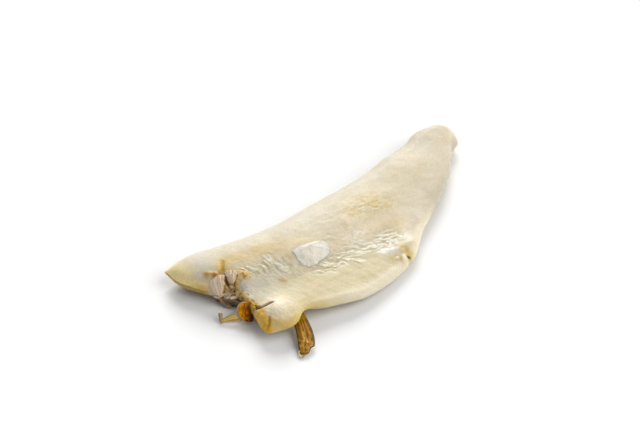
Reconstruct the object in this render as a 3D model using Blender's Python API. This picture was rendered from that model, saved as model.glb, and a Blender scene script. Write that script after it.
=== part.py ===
"""Lutefisk: one boned side of soaked dried cod, lying on its skin side with the flesh up.

The fillet is one solid: a thick loin along the back, a thin belly flap in front of it, a slanting cut at the
head end with a torn neck and a swollen lobe, and a blunt tail. A loose flake of flesh lies on it. A pelvic fin,
a shred of collar cartilage, a leaf of fin skin and a broken fin ray lie out from under its head end.

Frame: +X from head to tail, +Y from belly to back, +Z up. The origin is the middle of the whole object's
footprint, on the surface that it lies on. Sizes below are in millimetres, and MM turns them into metres.
"""

import bmesh
import bpy
import numpy as np
from mathutils import Vector
from mathutils.bvhtree import BVHTree

MM = 0.001
GAP = 0.8  # under the loose flake, so that its facets clear the fillet's

# The fillet's outline from above. Edges run from head to tail, and from back to belly.
NOSE = (-178, 73.5)
LOBE_TIP = (-152, -50)
TAIL_BACK = (170, 87)
TAIL_BELLY = (165, 51)
BACK_EDGE = (NOSE, (-153, 72), (-112, 61), (-68, 55), (-16, 58), (40, 62), (97, 72), (138, 87), TAIL_BACK)
BELLY_EDGE = (LOBE_TIP, (-125, -62), (-87, -59), (-46, -67), (-1, -61), (33, -48), (73, -20), (126, 14), TAIL_BELLY)
HEAD_EDGE = (NOSE, (-170, 37), (-153, 16), (-144, 7), (-142, -6), (-147, -27), LOBE_TIP)
TAIL_EDGE = (TAIL_BACK, (181, 71), TAIL_BELLY)
TAIL_NUB = (10.5, 2.5)
NUB_FROM = (0.98, 0.45)  # shares of the length and of the width at which the nub starts
SIDE_LENGTH = 352

# How far the nose bulges beside its tip, the share of the width at which it does, and its reach in shares of the
# length and the width.
NOSE_BULGE = (-2.6, -1.6)
BULGE_AT, BULGE_REACH = 0.07, (0.1, 0.06)

# The hollow in the belly edge behind the lobe: its place and reach in shares of the length, its depth, and the
# share of the width at which it starts.
NOTCH_AT, NOTCH_REACH, NOTCH_DEPTH, NOTCH_FROM = 0.184, 0.042, 8, 0.6

# Heights, each read from head to tail.
LOIN_TOP = (21, 30, 33, 34, 34, 33, 32, 30, 28, 27, 24.5)
FLAP_TOP = (17, 20, 20, 18, 15, 13, 15, 18, 20, 20, 18)
FLAP_UNDER = (5, 10, 10, 7, 4, 1.5, 2, 3, 3, 4, 5)

# How far the nose and the torn neck stand clear of the ground, and the shares of the length and width they reach.
NOSE_LIFT, NOSE_LENGTH = 6, 0.13
NECK_LIFT, NECK_LENGTH = 6, 0.1
NOSE_WIDTH = 0.26
LOBE_FROM = 0.8

# Across the fillet the loin gives way to the flap between these shares of the width, later at the tail.
LOIN_ENDS, FLAP_STARTS = 0.13, 0.8
TAIL_SPREAD, TAILWARD = 0.14, (0.55, 0.8)
FLAP_LIFT_FROM = 0.6

# Radii of the rounded edges.
BACK_RIM = 15
BELLY_RIM = (8, 6, 5, 5, 5, 6, 10, 13, 14, 13, 12)
HEAD_RIM = (12, 13, 14, 14, 8, 7, 10)
TAIL_RIM = 12
EDGE_BAND = 0.1  # share of the thickness left as a band on the very edge
EDGE_HEIGHT = 0.45  # share of the thickness that lies under the edge

# Swellings and hollows of the flesh: place, how far they reach and how high they stand.
TOP_FORMS = {
    "lobe": ((-133, -36), (18, 13), 9),
    "torn neck": ((-143, 13), (10, 10), -8),
    "vent ridge": ((22, -39), (16, 8), 3),
    "shoulder": ((120, 65), (22, 16), -2),
    "valley": ((-40, -11), (75, 14), -3),
}
FIN_BED = ((-110, -47), (15, 16), 5)

# Spans of the fillet's mesh, with those inside each rounded edge.
ALONG, ACROSS = 56, 24
RIM_SPANS = 4
END_RIM, BACK_SHARE, BELLY_SHARE = 12 / SIDE_LENGTH, 0.13, 0.08

# The loose flake.
FLAKE_CENTRE = (-59, -1)
FLAKE_REACH = (17, 8)
FLAKE_SLANT = -0.15
FLAKE_THICK = 4
FLAKE_RIM = 0.4
FLAKE_SPANS = 12

# Flat blades: the way each one's width lies, its spine, and its widths and thicknesses along that.
FIN_SIDE = (0.79, -0.62, 0)
FIN_SPINE = ((-109, -46, 8.5), (-114, -59, 8.5), (-119, -70, 7.2), (-125, -80, 5), (-133, -87, 1.8))
FIN_WIDTHS = (12, 13, 14.5, 14, 6)
FIN_THICK = (2.6, 3, 3.2, 2.8, 1.6)
FIN_SPANS = (14, 6)

COLLAR_SIDE = (0.5, -1, 0)
COLLAR_SPINE = ((-149.5, -13, 16), (-151, -15, 12), (-152, -18, 8), (-151, -22, 3))
COLLAR_WIDTHS = (8, 14, 16, 11)
COLLAR_THICK = (2.4, 3, 3, 2.2)
COLLAR_SPANS = (8, 6)

STRIP_SIDE = (0.3, -0.5, -0.6)
STRIP_SPINE = ((-155.5, -14, 5.6), (-160, -11.5, 5), (-165, -8, 3), (-170, -5.5, 1.4))
STRIP_WIDTHS = (9, 8, 5, 2)
STRIP_THICK = (1.8, 1.8, 1.6, 1.2)
STRIP_SPANS = (8, 4)

# The broken fin ray.
STUB_FOOT = (-168, -3.5, 2.4)
STUB_TOP = (-166.5, -1, 9)
STUB_RADII = (1.8, 1.4)
STUB_SIDES = 12
SHARP_ANGLE = 0.9


def spline(points, at):
    """Smooth curve through points, which lie evenly from 0 to 1, read at each value of at."""
    p = np.array(points, float)
    spans = len(p) - 1
    p = np.concatenate([[2 * p[0] - p[1]], p, [2 * p[-1] - p[-2]]])
    at = np.asarray(at, float) * spans
    i = np.clip(at.astype(int), 0, spans - 1)
    t = at - i
    if p.ndim > 1:
        t = t[..., None]
    a, b, c, d = p[i], p[i + 1], p[i + 2], p[i + 3]
    return b + 0.5 * t * (c - a + t * (2 * a - 5 * b + 4 * c - d + t * (3 * (b - c) + d - a)))


def ease(low, high, value):
    """0 below low, 1 above high, and a smooth step between."""
    t = np.clip((value - low) / (high - low), 0, 1)
    return t * t * (3 - 2 * t)


def swelling(x, y, place, reach, height):
    """A round-topped swelling, or a hollow where its height is negative."""
    return height * np.exp(-(((x - place[0]) / reach[0]) ** 2) - ((y - place[1]) / reach[1]) ** 2)


def rounded(distance, radius):
    """How far a rounded edge has risen at a distance in from the outline: a quarter of a circle."""
    t = np.clip(distance / radius, 0, 1)
    return np.sqrt(1 - (1 - t) ** 2)


def spread(spans, start, end):
    """Values from 0 to 1, closer together inside the rounded edges, whose widths are start and end."""
    turn = np.linspace(0, np.pi / 2, RIM_SPANS + 1)
    middle = np.linspace(start, 1 - end, spans - 2 * RIM_SPANS + 1)
    return np.concatenate([start * (1 - np.cos(turn[:-1])), middle, 1 - end * (1 - np.cos(turn[-2::-1]))])


def plan(u, w):
    """Place in the outline: blended between the four edges, u from head to tail and w from back to belly."""
    back, belly = spline(BACK_EDGE, u), spline(BELLY_EDGE, u)
    head, tail = spline(HEAD_EDGE, w), spline(TAIL_EDGE, w)
    u, w = u[..., None], w[..., None]
    corners = (1 - u) * ((1 - w) * np.array(NOSE) + w * np.array(LOBE_TIP))
    corners = corners + u * ((1 - w) * np.array(TAIL_BACK) + w * np.array(TAIL_BELLY))
    nub = np.array(TAIL_NUB) * ease(NUB_FROM[0], 1, u) * ease(NUB_FROM[1], 1, w)
    notch = NOTCH_DEPTH * np.exp(-(((u - NOTCH_AT) / NOTCH_REACH) ** 2)) * ease(NOTCH_FROM, 1, w)
    bulge = np.exp(-(((w - BULGE_AT) / BULGE_REACH[1]) ** 2)) * (1 - ease(0, BULGE_REACH[0], u))
    moved = nub + notch * np.array((0, 1)) + bulge * np.array(NOSE_BULGE)
    return (1 - w) * back + w * belly + (1 - u) * head + u * tail - corners + moved


def fillet_sheets(u, w):
    """The fillet's upper and under surface. They meet in a rounded edge all round the outline."""
    at = plan(u, w)
    x, y = at[..., 0], at[..., 1]
    flap = ease(LOIN_ENDS, FLAP_STARTS + TAIL_SPREAD * ease(*TAILWARD, u), w)
    top = spline(LOIN_TOP, u) * (1 - flap) + spline(FLAP_TOP, u) * flap
    for form in TOP_FORMS.values():
        top = top + swelling(x, y, *form)

    under = spline(FLAP_UNDER, u) * ease(FLAP_LIFT_FROM, 1, w)
    under = under + swelling(x, y, *FIN_BED) * ease(FLAP_LIFT_FROM, LOBE_FROM, w)
    off_nose = ease(0, NOSE_WIDTH, w)
    under = under + NOSE_LIFT * (1 - ease(0, NOSE_LENGTH, u)) * (1 - off_nose)
    under = under + NECK_LIFT * (1 - ease(0, NECK_LENGTH, u)) * off_nose * (1 - ease(LOBE_FROM, 1, w))
    under = np.maximum(under, 0)

    width = np.linalg.norm(spline(BACK_EDGE, u) - spline(BELLY_EDGE, u), axis=-1)
    risen = rounded(w * width, BACK_RIM) * rounded((1 - w) * width, spline(BELLY_RIM, u))
    risen = risen * rounded(u * SIDE_LENGTH, spline(HEAD_RIM, w)) * rounded((1 - u) * SIDE_LENGTH, TAIL_RIM)
    risen = EDGE_BAND + (1 - EDGE_BAND) * risen
    edge = under + EDGE_HEIGHT * (top - under)
    upper = edge + (top - edge) * risen
    lower = edge - (edge - under) * risen
    return np.stack([x, y, upper], -1), np.stack([x, y, lower], -1)


def plain_material(name, colour, roughness):
    material = bpy.data.materials.new(name)
    material.use_nodes = True
    shader = material.node_tree.nodes["Principled BSDF"]
    shader.inputs["Base Color"].default_value = (*colour, 1)
    shader.inputs["Roughness"].default_value = roughness
    shader.inputs["Metallic"].default_value = 0
    return material


def add_object(name, bm, material):
    """Turn a closed bmesh into a smooth-shaded object."""
    mesh = bpy.data.meshes.new(name)
    bm.to_mesh(mesh)
    bm.free()
    mesh.shade_smooth()
    mesh.materials.append(material)
    piece = bpy.data.objects.new(name, mesh)
    bpy.context.collection.objects.link(piece)
    return piece


def solid_between(name, upper, lower, material):
    """Closed solid between two sheets of points, joined by a wall all round their edges."""
    rows, columns = upper.shape[:2]
    bm = bmesh.new()
    bmesh.ops.create_grid(bm, x_segments=columns - 1, y_segments=rows - 1, size=1)
    places = {}
    for number, vert in enumerate(bm.verts):
        places[vert] = divmod(number, columns)
        vert.co = (*places[vert], 0)
    made = bmesh.ops.extrude_face_region(bm, geom=bm.faces[:], use_keep_orig=True)["geom"]
    for vert in made:
        if isinstance(vert, bmesh.types.BMVert):
            vert.co = Vector(lower[round(vert.co.x), round(vert.co.y)]) * MM
    for vert, place in places.items():
        vert.co = Vector(upper[place]) * MM
    bmesh.ops.triangulate(bm, faces=bm.faces[:])
    bmesh.ops.recalc_face_normals(bm, faces=bm.faces[:])
    return add_object(name, bm, material)


def make_fillet():
    along = spread(ALONG, END_RIM, END_RIM)
    across = spread(ACROSS, BACK_SHARE, BELLY_SHARE)
    w, u = np.meshgrid(across, along)
    upper, lower = fillet_sheets(u, w)
    return solid_between("fillet", upper, lower, plain_material("cod flesh", (0.80, 0.72, 0.56), 0.35))


def make_flake(fillet):
    """A rounded slab that lies on the fillet's upper surface and bends with it."""
    surface = BVHTree.FromObject(fillet, bpy.context.evaluated_depsgraph_get())
    side = np.linspace(-1, 1, FLAKE_SPANS + 1)
    across, along = np.meshgrid(side, side)
    # A square grid pulled into a disc, then made uneven, with four blunt corners.
    x = along * np.sqrt(1 - across**2 / 2)
    y = across * np.sqrt(1 - along**2 / 2)
    inward = 1 - np.hypot(x, y)
    turn = np.arctan2(y, x)
    uneven = 1 + 0.06 * np.cos(3 * turn - 2.4) + 0.07 * np.cos(4 * turn - 2.6)
    x = x * uneven * FLAKE_REACH[0]
    y = y * uneven * FLAKE_REACH[1] + FLAKE_SLANT * x
    x, y = x + FLAKE_CENTRE[0], y + FLAKE_CENTRE[1]
    rest = np.empty_like(x)
    for place in np.ndindex(x.shape):
        above = Vector((x[place], y[place], 2 * max(LOIN_TOP))) * MM
        rest[place] = surface.ray_cast(above, Vector((0, 0, -1)))[0].z / MM
    thickness = FLAKE_THICK * (EDGE_BAND + (1 - EDGE_BAND) * rounded(inward, FLAKE_RIM))
    lower = np.stack([x, y, rest + GAP], -1)
    upper = np.stack([x, y, rest + GAP + thickness], -1)
    return solid_between("loose_flake", upper, lower, plain_material("pale flake", (0.80, 0.73, 0.58), 0.4))


def make_blade(name, side, spine, widths, thick, spans, material):
    """A flat blade: it follows a spine, side is the way its width lies, and its section is a flat oval."""
    rows, columns = spans
    along, across = np.meshgrid(np.linspace(0, 1, rows + 1), np.linspace(-1, 1, columns + 1), indexing="ij")
    step = 0.01
    ahead = spline(spine, np.clip(along + step, 0, 1)) - spline(spine, np.clip(along - step, 0, 1))
    side = np.array(side, float) / np.linalg.norm(side)
    face = np.cross(ahead, np.broadcast_to(side, ahead.shape))
    face = face / np.linalg.norm(face, axis=-1, keepdims=True)
    face = face * np.sign(face[..., 2:])
    oval = EDGE_BAND + (1 - EDGE_BAND) * np.sqrt(1 - across**2)
    half = (spline(thick, along) / 2 * oval)[..., None]
    sheet = spline(spine, along) + side * (across * spline(widths, along) / 2)[..., None]
    return solid_between(name, sheet + face * half, sheet - face * half, material)


def make_stub():
    """A short broken fin ray, round in section and thinner at its top."""
    foot, top = Vector(STUB_FOOT) * MM, Vector(STUB_TOP) * MM
    bm = bmesh.new()
    wide, narrow = (radius * MM for radius in STUB_RADII)
    depth = (top - foot).length
    bmesh.ops.create_cone(bm, cap_ends=True, segments=STUB_SIDES, radius1=wide, radius2=narrow, depth=depth)
    piece = add_object("bone_stub", bm, plain_material("fin ray", (0.40, 0.35, 0.26), 0.5))
    piece.data.set_sharp_from_angle(angle=SHARP_ANGLE)
    piece.location = (foot + top) / 2
    piece.rotation_mode = "QUATERNION"
    piece.rotation_quaternion = (top - foot).to_track_quat("Z", "X")


def main():
    for old in list(bpy.data.objects):
        bpy.data.objects.remove(old)
    fillet = make_fillet()
    bpy.context.view_layer.update()
    make_flake(fillet)
    brown = plain_material("fin skin", (0.33, 0.19, 0.06), 0.4)
    make_blade("pelvic_fin", FIN_SIDE, FIN_SPINE, FIN_WIDTHS, FIN_THICK, FIN_SPANS, brown)
    amber = plain_material("collar cartilage", (0.42, 0.18, 0.02), 0.35)
    make_blade("collar_bone", COLLAR_SIDE, COLLAR_SPINE, COLLAR_WIDTHS, COLLAR_THICK, COLLAR_SPANS, amber)
    tan = plain_material("leaf of skin", (0.45, 0.31, 0.12), 0.4)
    make_blade("fin_strip", STRIP_SIDE, STRIP_SPINE, STRIP_WIDTHS, STRIP_THICK, STRIP_SPANS, tan)
    make_stub()


main()
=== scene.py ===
"""Lutefisk, the looks: a boned side of soaked dried cod, wet and lying flesh side up on a white ground.

Lengths are in the fillet's own millimetres, x from head to tail, y from belly to back and z up. MM turns them
into metres, and comes from the CAD fillet's length. Every piece is a pair of sheets worked out on a grid.
"""

import bpy
import numpy as np
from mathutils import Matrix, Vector


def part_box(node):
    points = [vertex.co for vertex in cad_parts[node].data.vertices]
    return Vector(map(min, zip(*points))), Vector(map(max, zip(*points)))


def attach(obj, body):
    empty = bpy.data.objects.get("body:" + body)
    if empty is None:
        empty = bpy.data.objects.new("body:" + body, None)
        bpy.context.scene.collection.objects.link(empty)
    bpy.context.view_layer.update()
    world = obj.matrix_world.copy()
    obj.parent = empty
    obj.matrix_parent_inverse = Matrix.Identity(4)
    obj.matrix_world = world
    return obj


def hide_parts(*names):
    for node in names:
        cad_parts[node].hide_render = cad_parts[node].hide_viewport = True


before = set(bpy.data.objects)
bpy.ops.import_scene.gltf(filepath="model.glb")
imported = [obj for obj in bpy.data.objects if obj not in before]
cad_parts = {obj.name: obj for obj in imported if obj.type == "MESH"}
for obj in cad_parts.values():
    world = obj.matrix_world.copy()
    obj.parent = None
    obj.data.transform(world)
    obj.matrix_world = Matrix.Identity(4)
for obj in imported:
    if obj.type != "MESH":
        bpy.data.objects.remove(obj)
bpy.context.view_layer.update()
fillet_low, fillet_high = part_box("fillet")
FILLET_LENGTH = 360.1
MM = (fillet_high.x - fillet_low.x) / FILLET_LENGTH

# -------- the fillet's form

NOSE, LOBE_TIP = (-178, 73.5), (-152, -50)
TAIL_BACK, TAIL_BELLY = (170, 87), (165, 51)
BACK_EDGE = (NOSE, (-153, 72), (-112, 61), (-68, 55), (-16, 58), (40, 62), (97, 72), (138, 87), TAIL_BACK)
BELLY_EDGE = (
    LOBE_TIP, (-125, -62), (-87, -59), (-46, -67), (-1, -61), (33, -48), (73, -20), (126, 14), TAIL_BELLY,
)
HEAD_EDGE = (NOSE, (-170, 37), (-153, 16), (-144, 7), (-142, -6), (-147, -27), LOBE_TIP)
TAIL_EDGE = (TAIL_BACK, (181, 71), TAIL_BELLY)
TAIL_NUB, NUB_FROM = (10.5, 2.5), (0.98, 0.45)
NOSE_BULGE, BULGE_AT, BULGE_REACH = (-2.6, -1.6), 0.07, (0.1, 0.06)
LOBE_BLUNT, BLUNT_REACH = (2.6, 1.6), (0.022, 0.06)
# Dents and bumps of the long edges: place along them, reach, the share from back to belly where they start
# and where they are full, and the step there.
EDGE_DENTS = (
    (0.184, 0.042, 0.6, 1, (0, 8)),  # behind the lobe
    (0.562, 0.008, 0.92, 1, (-0.5, 1.5)),  # beside the vent
    (0.695, 0.048, 0.7, 1, (-1.4, 2.2)),  # behind the vent
    (0.877, 0.01, 0.9, 1, (-0.7, 1.0)),  # tail's belly edge
    (0.735, 0.045, 0.35, 0, (-0.8, 3.2)),  # tail's back edge
    (0.835, 0.03, 0.35, 0, (0.6, -1.7)),
)
# The side's length and width where a share has to be a distance, and the length of the neck's strands.
SIDE_LENGTH, SIDE_WIDTH, STRAND_LENGTH = 352, 130, 9

LOIN_TOP = (21, 30, 33, 34, 34, 33, 32, 30, 28, 27, 24.5)
FLAP_TOP = (17, 20, 20, 18, 15, 13, 15, 18, 20, 20, 18)
FLAP_UNDER = (5, 10, 10, 7, 4, 1.5, 2, 3, 3, 4, 5)
NOSE_LIFT, NOSE_LENGTH, NOSE_WIDTH = 6, 0.13, 0.26
NECK_LIFT, NECK_LENGTH = 6, 0.1
LOBE_FROM, FLAP_LIFT_FROM = 0.8, 0.6
LOIN_ENDS, FLAP_STARTS = 0.13, 0.8
TAIL_SPREAD, TAILWARD = 0.14, (0.55, 0.8)

BACK_RIM, TAIL_RIM = 15, 12
BELLY_RIM = (8, 6, 5, 5, 5, 6, 10, 13, 14, 13, 12)
HEAD_RIM = (12, 13, 12, 8, 4, 4.5, 8)
EDGE_BAND, EDGE_HEIGHT = 0.1, 0.45

# Swellings and hollows: place, reach and height.
TOP_FORMS = (
    ((-133, -38), (18, 12.5), 7.5),  # lobe
    ((-145, 14), (7.5, 8.5), -8),  # torn neck
    ((22, -39), (16, 8), 3),  # vent ridge
    ((120, 65), (22, 16), -2),  # shoulder
    ((-40, -11), (75, 14), -3),  # valley
    ((84, 58), (22, 14), 1.2),  # tail's back
)
FIN_BED = ((-110, -47), (15, 16), 5)

# Lines on the flesh.
SLIT = ((-143.5, -26.5), (-141, -29.5), (-138, -31), (-134.2, -32), (-130.5, -34))
CREVICE = ((-141.5, 24), (-143.5, 21.5), (-145, 19), (-148.5, 17.5), (-152, 16))
SIDE_CREVICE = ((-142, 21.5), (-140.5, 17.5), (-141, 13), (-142.5, 9.5))
NECK_RIDGE = ((-139.5, 12.5), (-137, 13.8), (-133.5, 13.2), (-130.5, 12), (-127.5, 9.5))
FLAP_HEAD = ((-139.5, 11), (-141.5, 6), (-142, 0), (-142.6, -7), (-142.6, -13))
SLIT_MOUTH = ((-142, -15), (-142.5, -20), (-142, -25))
NECK_GROOVE = ((-138.5, 34), (-143.5, 27.5))
NOSE_LUMP = ((-157, 32.5), (-154, 29.5), (-150.5, 27.5))
NOSE_CREASE = ((-153, 27.5), (-150, 26), (-146, 26))
WARM_LINE = ((-137, 33), (-118, 28), (-101, 23), (-78, 18), (-57, 14), (-36, 14))
VALLEY_LINE = ((-72, 12), (-50, 3), (-30, -6), (-8, -3), (14, -4), (38, -12))
VENT_LINE = ((19, -40), (21, -42.5), (19.5, -48), (20.5, -51.5))
VENT_BEADS = ((5, -44.5), (8, -48), (11, -52.5))
LOBE_FOLD = ((-142.5, -44.5), (-144.5, -47.5), (-146.5, -49.5))
LOBE_LIP = ((-141, -49), (-138.5, -53.5), (-135.5, -57), (-130, -58.5), (-124, -58), (-119, -56))
GOLD_MARK = ((-104.5, -9), (-102.5, -11.5), (-100, -14))
# Wet folds of loose membrane between the loin and the flap.
FOLDS = (
    ((-104, 17), (-102, 11.5), (-101, 6.5)), ((-99.5, 15), (-99, 8.5), (-96.5, 3), (-93, -1.5)),
    ((-105.5, 12.5), (-104, 7)), ((-99.5, 4.5), (-97, -1), (-93.5, -4.5)), ((-91.5, 2), (-90, -4)),
    ((-112.5, 12), (-109, 7)), ((-71, -18.5), (-67, -19.5), (-64, -23)),
    ((-59, -18), (-54, -18.5), (-49, -21)), ((-48.5, -13.5), (-42, -13.5), (-40.5, -17), (-35, -16)),
    ((-48.5, -24.5), (-42.5, -22), (-38.5, -24), (-38, -28.5)), ((-36, -20), (-33, -23.5), (-28, -25)),
    ((-60, -23), (-55, -23.5), (-52, -27.5)),
    ((-25, -2.5), (-18.5, -3), (-16.5, -8), (-21, -12), (-26, -9.5)),
    ((-19, -12), (-13.5, -17), (-6.5, -20), (0.5, -23), (7.5, -24)),
    ((-14.5, -8.5), (-8, -13.5), (0, -16.5), (9, -19)),
    ((-31.5, -13.5), (-24, -17), (-15.5, -21.5), (-7, -24.5)), ((-15, -2), (-10, -8), (-3, -12)),
    ((8, -17), (15.5, -15.5), (23, -17.5), (29, -20)), ((16.5, -11.5), (22.5, -12), (28.5, -14.5)),
    ((8.5, -16.5), (15, -20), (24.5, -21.5), (30, -25)), ((13, -24), (21, -26), (27, -29.5)),
    ((-41, 4), (-35, 3.5), (-30, 0.5)), ((-12, -4.5), (-6.5, -2), (-2, -3.5)),
    ((-10, -7), (-4, -6.5), (2, -4)), ((-32, -27), (-27, -28), (-24, -32), (-19.5, -32)),
    ((-129.5, 18), (-127, 13.5), (-123.5, 9.5)), ((-123.5, 16), (-120.5, 11.5), (-117, 7)),
)
# Strokes along the lines above: height, line and width, which may change along it.
STROKES = (
    (-4.5, SLIT, (1.6, 1.6, 1.7, 1.6, 1)), (1.2, SLIT, (5, 4.4, 4, 3, 2)),
    (-2.4, CREVICE, (0.8, 1.2, 1.6, 1.7, 1.4)), (-3, SIDE_CREVICE, (0.8, 1.2, 1.3, 1.2)),
    (-1.5, NECK_GROOVE, 1.8), (1.8, NOSE_LUMP, (2.6, 2.4, 1.6)), (-0.6, VENT_LINE, (2, 2.2, 2.4, 2)),
    (-1.1, LOBE_FOLD, (1.4, 1.2, 1.2)), (0.7, LOBE_LIP, 2.4),
)
# Small swellings: place, reach, height and turn.
LUMPS = (
    ((-145, 17), (4, 5), -1),  # bottom of the torn neck
    ((9.5, -34.5), (7, 4), 0.8, -30),  # in front of the vent
    ((12.3, -51.2), (2.6, 3.4), 2.6, -38),  # beads on the vent's rim
    ((7.5, -47.5), (1.6, 1.8), 1),
)
# Patches of wet wrinkles: place, reach, the way the wrinkles run in degrees from +X, their width and height.
WRINKLES = (
    ((-113, 7), (18, 9), -78, 3.6, 0.9),
    ((-92, -2), (18, 9), -62, 3.8, 0.9),
    ((-56, -17), (20, 8), -47, 4, 1.1),
    ((-24, -14), (22, 12), -38, 4.2, 1.2),
    ((6, -18), (20, 12), -24, 4.6, 1.3),
    ((20, -28), (14, 10), -8, 4.8, 1.3),
    ((-6, 3), (16, 9), -38, 3.2, 0.8),
    ((24, 14), (24, 11), -30, 2.6, 0.7),
    ((46, 14), (12, 9), -15, 2.6, 0.6),
    ((2, 12), (14, 7), 20, 2.4, 0.6),
)
PATCH_TURN, FIBRES_RUN = -18, -68  # degrees from +X: the patches' long side, and the belly membrane's fibres

# How much light a full colour gives back, and how much richer the two kinds of surface make their tints.
SHOWN, FLESH_RICHER, SKIN_RICHER = 0.78, 1.24, 1.3
# Spans of the fillet's grid along, across and in each rounded edge, and what share of the grid a rounded edge
# takes at both ends, at the back and at the belly.
ALONG, ACROSS, RIM_SPANS = 340, 132, 14
END_SHARE, BACK_SHARE, BELLY_SHARE = 12 / SIDE_LENGTH, 0.13, 0.08


def spline(points, at):
    """Smooth curve through points, which lie evenly from 0 to 1, read at each value of at."""
    p = np.array(points, float)
    spans = len(p) - 1
    p = np.concatenate([[2 * p[0] - p[1]], p, [2 * p[-1] - p[-2]]])
    at = np.asarray(at, float) * spans
    i = np.clip(at.astype(int), 0, spans - 1)
    t = at - i
    if p.ndim > 1:
        t = t[..., None]
    a, b, c, d = p[i], p[i + 1], p[i + 2], p[i + 3]
    return b + 0.5 * t * (c - a + t * (2 * a - 5 * b + 4 * c - d + t * (3 * (b - c) + d - a)))


def ease(low, high, value):
    """0 below low, 1 above high, and a smooth step between."""
    t = np.clip((value - low) / (high - low), 0, 1)
    return t * t * (3 - 2 * t)


def hump(value, centre, width):
    """e to the minus squared distance of a value from a centre, measured in widths."""
    return np.exp(-(((value - centre) / width) ** 2))


def swelling(x, y, place, reach, height=1, turn=0):
    """height times e to the minus squared distance, measured in reaches along axes turned by turn degrees."""
    c, s = np.cos(np.radians(turn)), np.sin(np.radians(turn))
    dx, dy = x - place[0], y - place[1]
    return height * np.exp(-(((dx * c + dy * s) / reach[0]) ** 2) - ((dy * c - dx * s) / reach[1]) ** 2)


def stroke(x, y, line, width, samples=40):
    """e to the minus squared distance to a smooth line, measured in widths, which may change along it."""
    t = np.linspace(0, 1, samples)
    points, widths = spline(line, t), np.interp(t, np.linspace(0, 1, np.size(width)), np.ravel(width))
    nearest = np.full(np.shape(x), 1e9)
    for (px, py), wide in zip(points, widths):
        nearest = np.minimum(nearest, ((x - px) ** 2 + (y - py) ** 2) / wide**2)
    return np.exp(-nearest)


def rounded(distance, radius):
    """Quarter circle: how far a rounded edge has risen at a distance in from the outline."""
    t = np.clip(distance / radius, 0, 1)
    return np.sqrt(1 - (1 - t) ** 2)


def lattice(i, j, seed):
    """A repeatable angle for each whole-number place, from mixed and multiplied bits."""
    h = (i.astype(np.int64) * 374761393 + j.astype(np.int64) * 668265263 + seed * 974634777) & 0xFFFFFFFF
    h = ((h ^ (h >> 13)) * 1274126177) & 0xFFFFFFFF
    h = ((h ^ (h >> 15)) * 2246822519) & 0xFFFFFFFF
    return (h ^ (h >> 16)) / 2**32 * 2 * np.pi


def grain(x, y, seed):
    """Gradient noise from about -1 to 1: slopes at whole-number places, blended with a fifth-power step."""
    x, y = np.broadcast_arrays(np.asarray(x, float), np.asarray(y, float))
    i, j = np.floor(x), np.floor(y)
    fx, fy = x - i, y - j
    sx, sy = (f * f * f * (f * (f * 6 - 15) + 10) for f in (fx, fy))
    corner = {}
    for di in (0, 1):
        for dj in (0, 1):
            a = lattice(i + di, j + dj, seed)
            corner[di, dj] = np.cos(a) * (fx - di) + np.sin(a) * (fy - dj)
    low = corner[0, 0] * (1 - sx) + corner[1, 0] * sx
    high = corner[0, 1] * (1 - sx) + corner[1, 1] * sx
    return 1.5 * (low * (1 - sy) + high * sy)


def layers(x, y, seed, octaves=3):
    """Noise added to itself at half the size and half the height, several times over."""
    total, height = 0, 1.0
    for octave in range(octaves):
        total += height * grain(x * 2**octave, y * 2**octave, seed + octave)
        height *= 0.5
    return total


def ridged(x, y, seed):
    """Sharp crests where noise crosses zero: one minus its size, squared."""
    return (1 - np.abs(layers(x, y, seed, 2))) ** 2


def spread(spans, start, end, crowd):
    """Values from 0 to 1, closer together inside the rounded edges and, by crowd, towards 0 between them."""
    turn = np.linspace(0, np.pi / 2, RIM_SPANS + 1)
    t = np.linspace(0, 1, spans - 2 * RIM_SPANS + 1)
    middle = start + (1 - end - start) * (t * (1 - crowd) + crowd * t**2)
    return np.concatenate([start * (1 - np.cos(turn[:-1])), middle, 1 - end * (1 - np.cos(turn[-2::-1]))])


def plan(u, w):
    """Place in the outline: blended between the four edges, u from head to tail and w from back to belly."""
    back, belly = spline(BACK_EDGE, u), spline(BELLY_EDGE, u)
    head, tail = spline(HEAD_EDGE, w), spline(TAIL_EDGE, w)
    nub = np.array(TAIL_NUB) * (ease(NUB_FROM[0], 1, u) * ease(NUB_FROM[1], 1, w))[..., None]
    for along, reach, start, full, step in EDGE_DENTS:
        nub += (hump(u, along, reach) * ease(start, full, w))[..., None] * np.array(step)
    bulge = hump(w, BULGE_AT, BULGE_REACH[1]) * ease(BULGE_REACH[0], 0, u)
    nub += bulge[..., None] * np.array(NOSE_BULGE)
    blunt = ease(BLUNT_REACH[0], 0, u) * ease(1 - BLUNT_REACH[1], 1, w)
    nub += blunt[..., None] * np.array(LOBE_BLUNT)
    u, w = u[..., None], w[..., None]
    corners = (1 - u) * ((1 - w) * np.array(NOSE) + w * np.array(LOBE_TIP))
    corners += u * ((1 - w) * np.array(TAIL_BACK) + w * np.array(TAIL_BELLY))
    return (1 - w) * back + w * belly + (1 - u) * head + u * tail - corners + nub


def along_view(x, y, turn):
    """x and y read along and across a direction, turn degrees from +X."""
    c, s = np.cos(np.radians(turn)), np.sin(np.radians(turn))
    return x * c + y * s, y * c - x * s


def mottled(x, y, seed):
    """Layered noise from about 0 to 1."""
    return 0.5 + 0.5 * layers(x, y, seed)


def strands(u, w, width):
    """Where a place lies among strands of a width that run in from the head edge."""
    return SIDE_LENGTH * u / STRAND_LENGTH, SIDE_WIDTH * w / width


def torn_streaks(u, w):
    """Crests of the torn neck's flakes."""
    return ridged(*strands(u, w, 1.7), 41)


def flap_fibres(x, y):
    """Crests of the fibres on the flap beside the neck."""
    return ridged(x / 11 + y / 30, (y - 0.2 * x) / 2.2, 37)


def torn_share(u, w):
    """1 in the torn neck, at the head edge between the nose and the lobe."""
    return ease(0.075, 0, u) * ease(0.2, 0.34, w) * ease(0.74, 0.6, w)


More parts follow.
